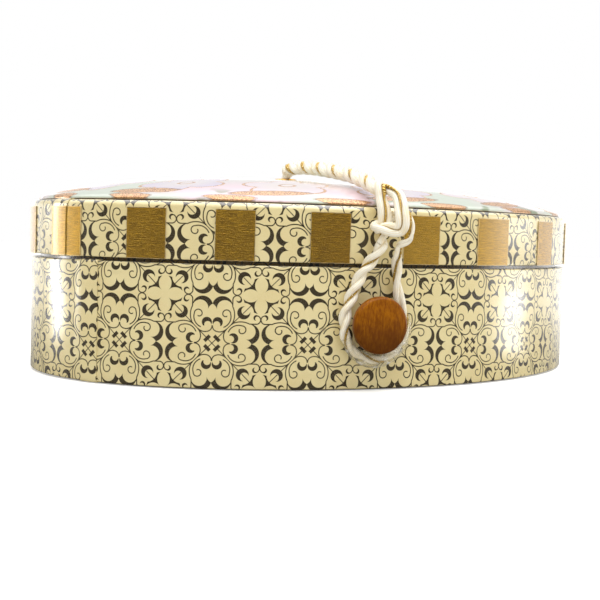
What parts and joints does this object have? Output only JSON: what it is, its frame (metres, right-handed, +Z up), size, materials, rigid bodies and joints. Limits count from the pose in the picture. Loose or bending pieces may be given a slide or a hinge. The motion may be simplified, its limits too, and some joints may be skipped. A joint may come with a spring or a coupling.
{
  "type": "candy box",
  "caption": "Oval card candy box with a padded lift-off lid, scroll-print sides, gold foil squares and a cord loop that hooks over a wooden button.",
  "frame": {"origin": "middle of the oval base, on the surface that the box stands on", "axes": "+X along the long axis, -Y out of the front wall that carries the button, +Z up"},
  "size_m": [0.2298, 0.1645, 0.0817],
  "materials": {
    "greyboard": "raw grey-brown board, matt",
    "scroll_print": "cream paper with a dark wrought-iron scroll print, gloss film laminated",
    "neck_paper": "dark olive paper, satin",
    "lining_paper": "plain cream paper, matt",
    "base_paper": "dark brown paper, matt",
    "gold_foil": "gold foil on paper, satin metallic with a fine horizontal grain",
    "picture_cover": "high-gloss printed cover, pale flowers with copper outlines",
    "wadding": "white polyester wadding",
    "varnished_wood": "turned wood, amber-brown gloss varnish",
    "screw_steel": "zinc-plated steel",
    "eyelet_brass": "polished brass",
    "satin_cord": "cream-white satin strands twisted with a gold lurex strand",
    "clear_film": "thin clear crinkled film"
  },
  "bodies": {
    "box": {"base_cover": "base_paper", "base_board": "greyboard", "body_hoop": "greyboard", "body_wrap": "scroll_print", "neck_collar": "greyboard", "neck_wrap": "neck_paper", "body_lining": "lining_paper", "floor_lining": "lining_paper", "button": "varnished_wood", "button_washer": "screw_steel", "button_screw": "screw_steel"},
    "lid": {"lid_hoop": "greyboard", "lid_board": "greyboard", "lid_wrap": "scroll_print", "gold_square_01": "gold_foil", "gold_square_02": "gold_foil", "gold_square_03": "gold_foil", "gold_square_04": "gold_foil", "gold_square_05": "gold_foil", "gold_square_06": "gold_foil", "gold_square_07": "gold_foil", "gold_square_08": "gold_foil", "gold_square_09": "gold_foil", "gold_square_10": "gold_foil", "gold_square_11": "gold_foil", "gold_square_12": "gold_foil", "gold_square_13": "gold_foil", "gold_square_14": "gold_foil", "gold_square_15": "gold_foil", "gold_square_16": "gold_foil", "gold_square_17": "gold_foil", "gold_square_18": "gold_foil", "gold_square_19": "gold_foil", "lid_wall_lining": "lining_paper", "lid_lining": "lining_paper", "top_cover": "picture_cover", "top_pad": "wadding", "cord_washer": "eyelet_brass", "stopper_knot": "satin_cord", "cord_eyelet": "eyelet_brass", "cord_lead": "satin_cord", "loop_knot": "satin_cord"},
    "loop": {"cord_loop": "satin_cord", "loop_film": "clear_film"}
  },
  "joints": [
    {"name": "lid_lift", "type": "slide", "parent": "box", "child": "lid", "axis": [0, 0, 1], "range_m": [0, 0.09], "deforming": ["cord_loop", "loop_film"]},
    {"name": "loop_unhook", "type": "hinge", "parent": "lid", "child": "loop", "pos_m": [-0.0104, -0.0822, 0.0504], "axis": [-0.9965, 0.0832, 0], "range_deg": [0, 90], "deforming": ["cord_loop", "loop_film"]}
  ]
}
